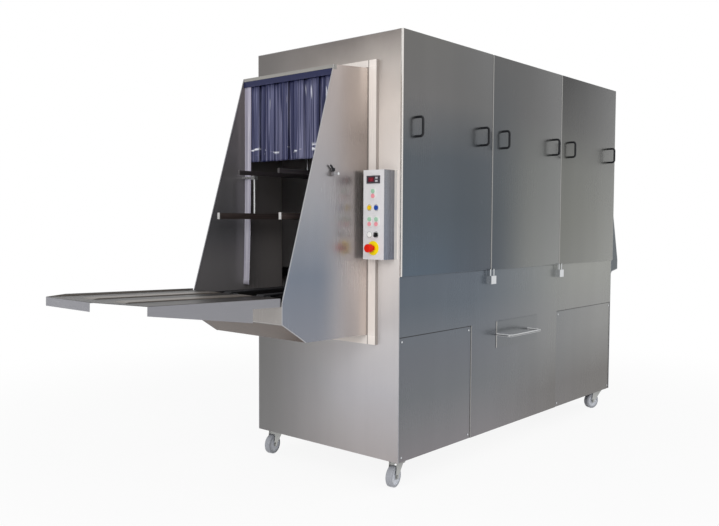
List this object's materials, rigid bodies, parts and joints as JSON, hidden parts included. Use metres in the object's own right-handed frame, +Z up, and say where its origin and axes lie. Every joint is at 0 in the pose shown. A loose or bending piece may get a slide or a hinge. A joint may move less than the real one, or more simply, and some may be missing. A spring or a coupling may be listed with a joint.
{
  "type": "container tunnel washer",
  "caption": "Stainless tunnel washer for crates and containers on castors, with strip-curtained hoods, lift-off side doors, a filter drawer, a control box and a hook-on loading table.",
  "frame": {"origin": "on the floor, under the middle of the plan outline", "axes": "+Z up, +X along the travel from the loading table to the outfeed, +Y away from the door side"},
  "size_m": [4.0906, 1.111, 2.11],
  "materials": {
    "brushed_stainless": "brushed",
    "door_stainless": "brushed",
    "hood_stainless": "brushed",
    "frame_stainless": "satin",
    "bright_stainless": "polished",
    "pipe_stainless": "satin",
    "curtain_pvc": "translucent tinted",
    "guide_plastic": "matte",
    "black_handle": "semi-gloss",
    "chain_plastic": "matte",
    "motor_paint": "semi-gloss",
    "heater_alloy": "dull",
    "panel_paint": "satin",
    "display_black": "gloss",
    "bezel_grey": "satin",
    "lamp_white": "gloss",
    "button_green": "gloss",
    "button_red": "gloss",
    "button_yellow": "gloss",
    "button_blue": "gloss",
    "knob_black": "gloss",
    "stop_red": "gloss",
    "stop_yellow": "satin",
    "castor_zinc": "zinc plated",
    "wheel_grey": "satin"
  },
  "bodies": {
    "machine": {"frame": "frame_stainless", "end_walls": "brushed_stainless", "roof_panel": "brushed_stainless", "lower_skin": "brushed_stainless", "side_panels": "brushed_stainless", "panel_screws": "bright_stainless", "door_catches": "bright_stainless", "infeed_hood": "hood_stainless", "outfeed_hood": "hood_stainless", "infeed_curtain": "curtain_pvc", "outfeed_curtain": "curtain_pvc", "hold_down_rails": "bright_stainless", "conveyor_rails": "frame_stainless", "conveyor_chains": "chain_plastic", "gearmotor": "motor_paint", "wash_tank": "frame_stainless", "tank_heaters": "heater_alloy", "wash_pump": "motor_paint", "spray_pipes": "pipe_stainless", "service_connections": "pipe_stainless", "control_box": "brushed_stainless", "control_face": "panel_paint", "display_unit": "display_black", "button_bezels": "bezel_grey", "pilot_lamp": "lamp_white", "stop_disc": "stop_yellow", "castor_plates": "castor_zinc"},
    "infeed_door": {"infeed_door": "door_stainless", "infeed_door_handles": "black_handle"},
    "middle_door": {"middle_door": "door_stainless", "middle_door_handles": "black_handle"},
    "outfeed_door": {"outfeed_door": "door_stainless", "outfeed_door_handles": "black_handle"},
    "filter_drawer": {"filter_drawer": "brushed_stainless", "drawer_handle": "bright_stainless"},
    "loading_table": {"loading_table": "brushed_stainless"},
    "door_side_guide": {"door_side_guide": "guide_plastic"},
    "door_side_clamp_lever": {"door_side_clamp_lever": "black_handle"},
    "far_side_guide": {"far_side_guide": "guide_plastic"},
    "far_side_clamp_lever": {"far_side_clamp_lever": "black_handle"},
    "drive_shaft": {"drive_shaft": "frame_stainless"},
    "idler_shaft": {"idler_shaft": "frame_stainless"},
    "yellow_button": {"yellow_button": "button_yellow"},
    "blue_button": {"blue_button": "button_blue"},
    "wash_start_button": {"wash_start_button": "button_green"},
    "wash_stop_button": {"wash_stop_button": "button_red"},
    "rinse_start_button": {"rinse_start_button": "button_green"},
    "rinse_stop_button": {"rinse_stop_button": "button_red"},
    "conveyor_start_button": {"conveyor_start_button": "button_green"},
    "conveyor_stop_button": {"conveyor_stop_button": "button_red"},
    "stop_button": {"stop_button": "stop_red"},
    "selector_knob": {"selector_knob": "knob_black"},
    "infeed_door_castor_fork": {"infeed_door_castor_fork": "castor_zinc"},
    "infeed_door_castor_wheel": {"infeed_door_castor_wheel": "wheel_grey"},
    "infeed_far_castor_fork": {"infeed_far_castor_fork": "castor_zinc"},
    "infeed_far_castor_wheel": {"infeed_far_castor_wheel": "wheel_grey"},
    "outfeed_door_castor_fork": {"outfeed_door_castor_fork": "castor_zinc"},
    "outfeed_door_castor_wheel": {"outfeed_door_castor_wheel": "wheel_grey"},
    "outfeed_far_castor_fork": {"outfeed_far_castor_fork": "castor_zinc"},
    "outfeed_far_castor_wheel": {"outfeed_far_castor_wheel": "wheel_grey"}
  },
  "joints": [
    {"name": "infeed_door_lift", "type": "slide", "parent": "machine", "child": "infeed_door", "axis": [0, 0, 1], "range_m": [0, 0.08]},
    {"name": "middle_door_lift", "type": "slide", "parent": "machine", "child": "middle_door", "axis": [0, 0, 1], "range_m": [0, 0.08]},
    {"name": "outfeed_door_lift", "type": "slide", "parent": "machine", "child": "outfeed_door", "axis": [0, 0, 1], "range_m": [0, 0.08]},
    {"name": "filter_drawer_slide", "type": "slide", "parent": "machine", "child": "filter_drawer", "axis": [0, -1, 0], "range_m": [0, 0.7]},
    {"name": "loading_table_lift", "type": "slide", "parent": "machine", "child": "loading_table", "axis": [0, 0, 1], "range_m": [0, 0.06]},
    {"name": "door_side_guide_slide", "type": "slide", "parent": "machine", "child": "door_side_guide", "axis": [0, 1, 0], "range_m": [0, 0.03]},
    {"name": "door_side_clamp_lever_turn", "type": "hinge", "parent": "machine", "child": "door_side_clamp_lever", "pos_m": [-1.01867, -0.2945, 1.482], "axis": [0, 0, 1], "range_deg": [0, 120]},
    {"name": "far_side_guide_slide", "type": "slide", "parent": "machine", "child": "far_side_guide", "axis": [0, -1, 0], "range_m": [0, 0.03]},
    {"name": "far_side_clamp_lever_turn", "type": "hinge", "parent": "machine", "child": "far_side_clamp_lever", "pos_m": [-1.01867, 0.3255, 1.482], "axis": [0, 0, 1], "range_deg": [-120, 0]},
    {"name": "drive_shaft_turn", "type": "hinge", "parent": "machine", "child": "drive_shaft", "pos_m": [1.68933, 0.0155, 0.8697], "axis": [0, 1, 0], "continuous": true},
    {"name": "idler_shaft_turn", "type": "hinge", "parent": "machine", "child": "idler_shaft", "pos_m": [-1.25067, 0.0155, 0.8697], "axis": [0, 1, 0], "continuous": true},
    {"name": "yellow_button_push", "type": "slide", "parent": "machine", "child": "yellow_button", "axis": [1, 0, 0], "range_m": [0, 0.003], "stiffness_N_per_m": 800},
    {"name": "blue_button_push", "type": "slide", "parent": "machine", "child": "blue_button", "axis": [1, 0, 0], "range_m": [0, 0.003], "stiffness_N_per_m": 800},
    {"name": "wash_start_button_push", "type": "slide", "parent": "machine", "child": "wash_start_button", "axis": [1, 0, 0], "range_m": [0, 0.003], "stiffness_N_per_m": 800},
    {"name": "wash_stop_button_push", "type": "slide", "parent": "machine", "child": "wash_stop_button", "axis": [1, 0, 0], "range_m": [0, 0.003], "stiffness_N_per_m": 800},
    {"name": "rinse_start_button_push", "type": "slide", "parent": "machine", "child": "rinse_start_button", "axis": [1, 0, 0], "range_m": [0, 0.003], "stiffness_N_per_m": 800},
    {"name": "rinse_stop_button_push", "type": "slide", "parent": "machine", "child": "rinse_stop_button", "axis": [1, 0, 0], "range_m": [0, 0.003], "stiffness_N_per_m": 800},
    {"name": "conveyor_start_button_push", "type": "slide", "parent": "machine", "child": "conveyor_start_button", "axis": [1, 0, 0], "range_m": [0, 0.003], "stiffness_N_per_m": 800},
    {"name": "conveyor_stop_button_push", "type": "slide", "parent": "machine", "child": "conveyor_stop_button", "axis": [1, 0, 0], "range_m": [0, 0.003], "stiffness_N_per_m": 800},
    {"name": "stop_button_push", "type": "slide", "parent": "machine", "child": "stop_button", "axis": [1, 0, 0], "range_m": [0, 0.004], "stiffness_N_per_m": 2500},
    {"name": "selector_knob_turn", "type": "hinge", "parent": "machine", "child": "selector_knob", "pos_m": [-0.83667, -0.3925, 1.183], "axis": [-1, 0, 0], "range_deg": [-45, 45]},
    {"name": "infeed_door_castor_fork_swivel", "type": "hinge", "parent": "machine", "child": "infeed_door_castor_fork", "pos_m": [-0.68467, -0.3985, 0.128], "axis": [0, 0, 1], "continuous": true},
    {"name": "infeed_door_castor_wheel_roll", "type": "hinge", "parent": "infeed_door_castor_fork", "child": "infeed_door_castor_wheel", "pos_m": [-0.72012, -0.40475, 0.05], "axis": [0.1736, -0.9848, 0], "continuous": true},
    {"name": "infeed_far_castor_fork_swivel", "type": "hinge", "parent": "machine", "child": "infeed_far_castor_fork", "pos_m": [-0.68467, 0.4295, 0.128], "axis": [0, 0, 1], "continuous": true},
    {"name": "infeed_far_castor_wheel_roll", "type": "hinge", "parent": "infeed_far_castor_fork", "child": "infeed_far_castor_wheel", "pos_m": [-0.72012, 0.42325, 0.05], "axis": [0.1736, -0.9848, 0], "continuous": true},
    {"name": "outfeed_door_castor_fork_swivel", "type": "hinge", "parent": "machine", "child": "outfeed_door_castor_fork", "pos_m": [1.46333, -0.3985, 0.128], "axis": [0, 0, 1], "continuous": true},
    {"name": "outfeed_door_castor_wheel_roll", "type": "hinge", "parent": "outfeed_door_castor_fork", "child": "outfeed_door_castor_wheel", "pos_m": [1.4295, -0.38619, 0.05], "axis": [-0.342, -0.9397, 0], "continuous": true},
    {"name": "outfeed_far_castor_fork_swivel", "type": "hinge", "parent": "machine", "child": "outfeed_far_castor_fork", "pos_m": [1.46333, 0.4295, 0.128], "axis": [0, 0, 1], "continuous": true},
    {"name": "outfeed_far_castor_wheel_roll", "type": "hinge", "parent": "outfeed_far_castor_fork", "child": "outfeed_far_castor_wheel", "pos_m": [1.4295, 0.41719, 0.05], "axis": [0.342, -0.9397, 0], "continuous": true}
  ],
  "couplings": [
    {"joint": "idler_shaft_turn", "follows": "drive_shaft_turn", "ratio": 1}
  ]
}
